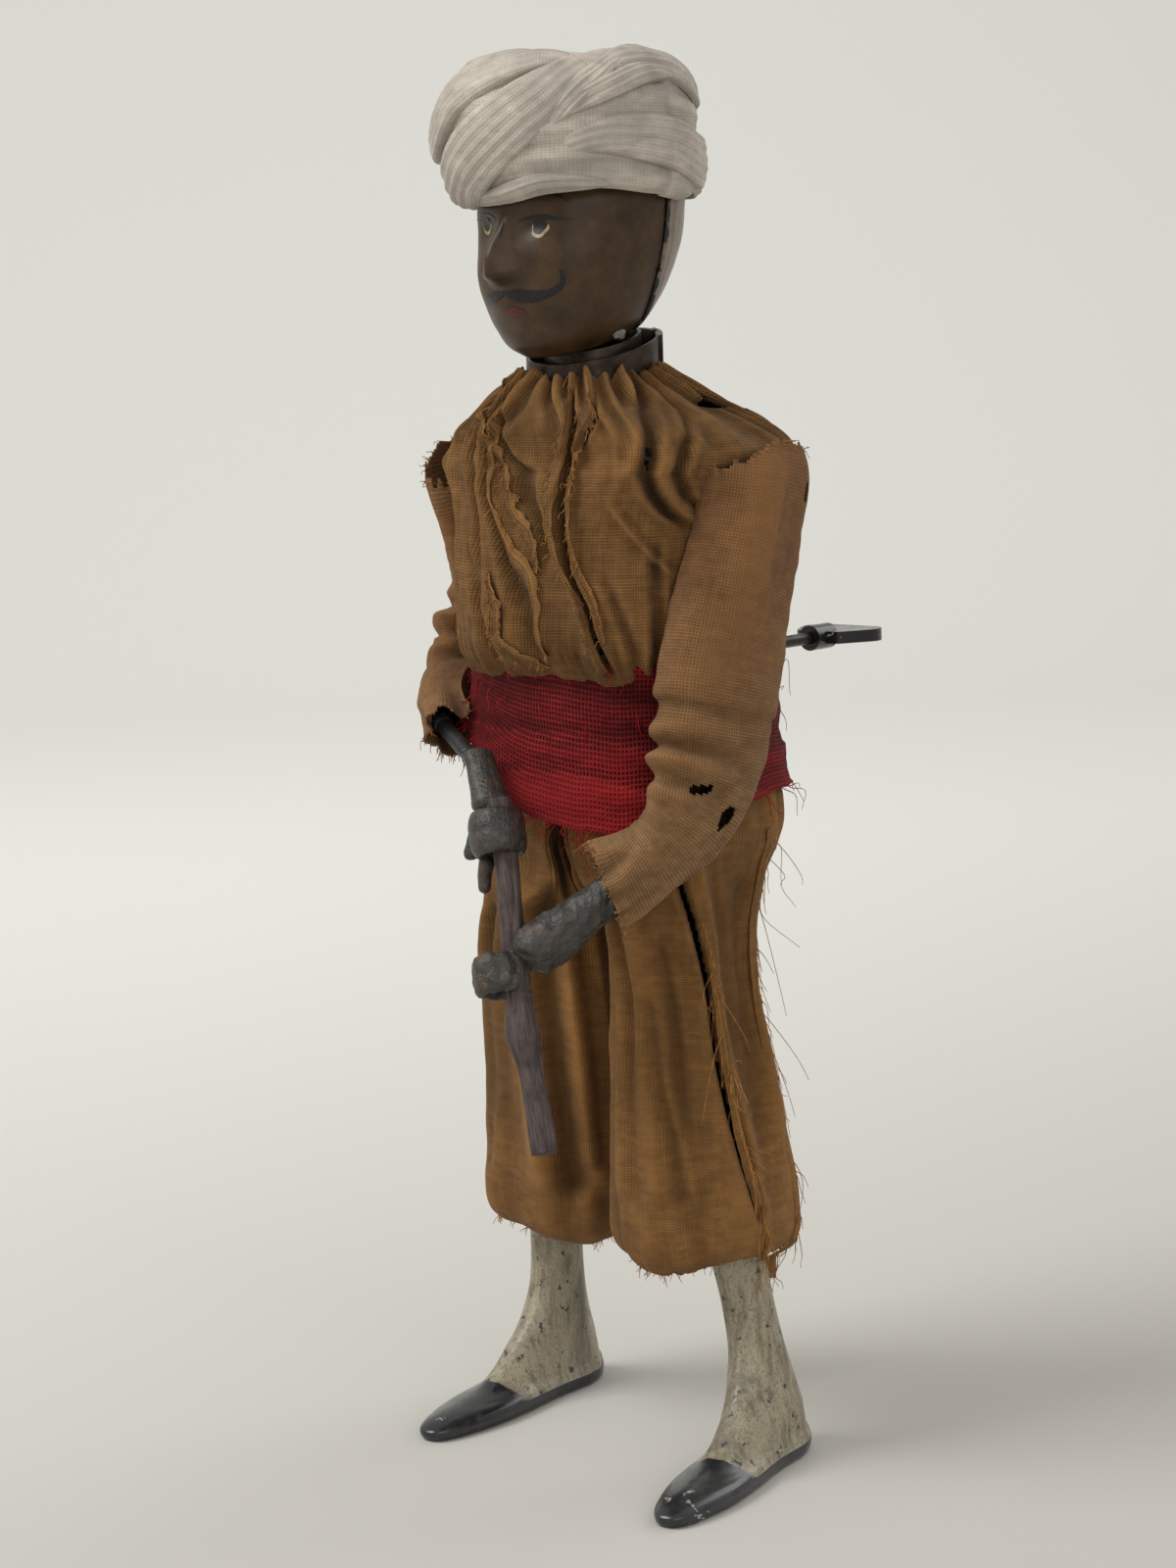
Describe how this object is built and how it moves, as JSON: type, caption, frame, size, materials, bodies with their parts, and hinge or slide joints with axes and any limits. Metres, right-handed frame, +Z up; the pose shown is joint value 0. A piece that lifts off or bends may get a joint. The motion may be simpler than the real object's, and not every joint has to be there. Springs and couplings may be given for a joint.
{
  "type": "clockwork walking figure",
  "caption": "Clockwork tin figure in cloth costume: a spring motor in the torso swings the legs and raises two arms that hold a staff.",
  "frame": {"origin": "on the floor under the middle of the figure's overall width and depth", "axes": "+Z up, the figure faces -Y, +X to the figure's own left"},
  "size_m": [0.0713, 0.0978, 0.2049],
  "materials": {
    "tin_case": "worn black japanned tin",
    "tin_brown": "gloss brown paint over pressed tin",
    "tin_brown_back": "worn brown paint over pressed tin",
    "collar_tin": "worn brown-grey paint",
    "fez_felt": "red felt",
    "muslin": "thin white muslin",
    "motor_brass": "stamped and turned",
    "spring_steel": "blued",
    "steel": "plain",
    "cotton_tan": "plain-weave cotton, faded",
    "cotton_brown": "plain-weave cotton, faded",
    "gauze_red": "coarse open gauze",
    "key_black": "black enamel, worn",
    "strip_black": "japanned tin strip",
    "lead_dark": "cast lead, darkened, brown wear",
    "twig": "peeled twig, grey-brown",
    "leg_paint": "ivory paint over cast lead, black slippers"
  },
  "bodies": {
    "torso": {"torso_front": "tin_case", "torso_back": "tin_case", "shoulder_plate": "tin_case", "neck_tube": "tin_case", "neck_collar": "collar_tin", "face_shell": "tin_brown", "head_back": "tin_brown_back", "fez_cap": "fez_felt", "turban": "muslin", "motor_front_plate": "motor_brass", "motor_back_plate": "motor_brass", "plate_pillars": "motor_brass", "pillar_nuts": "steel", "mainspring": "spring_steel", "hip_pin": "steel", "beam_stud": "steel", "blouse": "cotton_tan", "trouser_seat": "cotton_brown", "sash": "gauze_red"},
    "winding": {"key_handle": "key_black", "winding_arbor": "key_black", "ratchet_wheel": "steel"},
    "great_wheel": {"great_wheel": "motor_brass", "click": "steel", "click_spring": "steel"},
    "second_arbor": {"second_arbor": "steel", "second_pinion": "motor_brass", "second_wheel": "motor_brass", "crank_disc": "steel", "crank_pin": "steel"},
    "fly": {"fly_arbor": "steel", "fly_pinion": "motor_brass", "flywheel": "motor_brass"},
    "arms": {"shoulder_axle": "steel", "axle_lever": "steel", "left_arm": "strip_black", "right_arm": "strip_black", "left_hand": "lead_dark", "right_hand": "lead_dark", "staff": "twig", "left_sleeve": "cotton_tan", "right_sleeve": "cotton_tan", "arm_rivets": "steel"},
    "arm_rod": {"arm_rod": "steel"},
    "leg_beam": {"leg_beam": "steel"},
    "left_leg": {"left_leg_strip": "strip_black", "left_foot": "leg_paint", "left_trouser": "cotton_brown"},
    "right_leg": {"right_leg_strip": "strip_black", "right_foot": "leg_paint", "right_trouser": "cotton_brown"}
  },
  "joints": [
    {"name": "key_turn", "type": "hinge", "parent": "torso", "child": "winding", "pos_m": [0, -0.0086, 0.115], "axis": [0, 1, 0], "continuous": true},
    {"name": "great_wheel_turn", "type": "hinge", "parent": "torso", "child": "great_wheel", "pos_m": [0, -0.0086, 0.115], "axis": [0, 1, 0], "continuous": true},
    {"name": "second_arbor_turn", "type": "hinge", "parent": "torso", "child": "second_arbor", "pos_m": [0, -0.0086, 0.13], "axis": [0, 1, 0], "continuous": true},
    {"name": "fly_turn", "type": "hinge", "parent": "torso", "child": "fly", "pos_m": [0.01069, -0.0086, 0.13476], "axis": [0, 1, 0], "continuous": true},
    {"name": "arm_swing", "type": "hinge", "parent": "torso", "child": "arms", "pos_m": [0, -0.0086, 0.146], "axis": [-1, 0, 0], "range_deg": [0, 30]},
    {"name": "rod_swing", "type": "hinge", "parent": "arms", "child": "arm_rod", "pos_m": [0, -0.0198, 0.143], "axis": [-1, 0, 0], "range_deg": [-30, 0]},
    {"name": "left_leg_swing", "type": "hinge", "parent": "torso", "child": "left_leg", "pos_m": [0, -0.0086, 0.098], "axis": [1, 0, 0], "range_deg": [-7, 7]},
    {"name": "right_leg_swing", "type": "hinge", "parent": "torso", "child": "right_leg", "pos_m": [0, -0.0086, 0.098], "axis": [1, 0, 0], "range_deg": [-7, 7]},
    {"name": "leg_beam_rock", "type": "hinge", "parent": "torso", "child": "leg_beam", "pos_m": [0, -0.0086, 0.1], "axis": [0, 1, 0], "range_deg": [-6, 6]}
  ],
  "couplings": [
    {"joint": "great_wheel_turn", "follows": "key_turn", "ratio": 1},
    {"joint": "second_arbor_turn", "follows": "key_turn", "ratio": -4},
    {"joint": "fly_turn", "follows": "key_turn", "ratio": 13.333},
    {"joint": "rod_swing", "follows": "arm_swing", "ratio": -1},
    {"joint": "right_leg_swing", "follows": "left_leg_swing", "ratio": -1},
    {"joint": "leg_beam_rock", "follows": "left_leg_swing", "ratio": 0.7423}
  ]
}
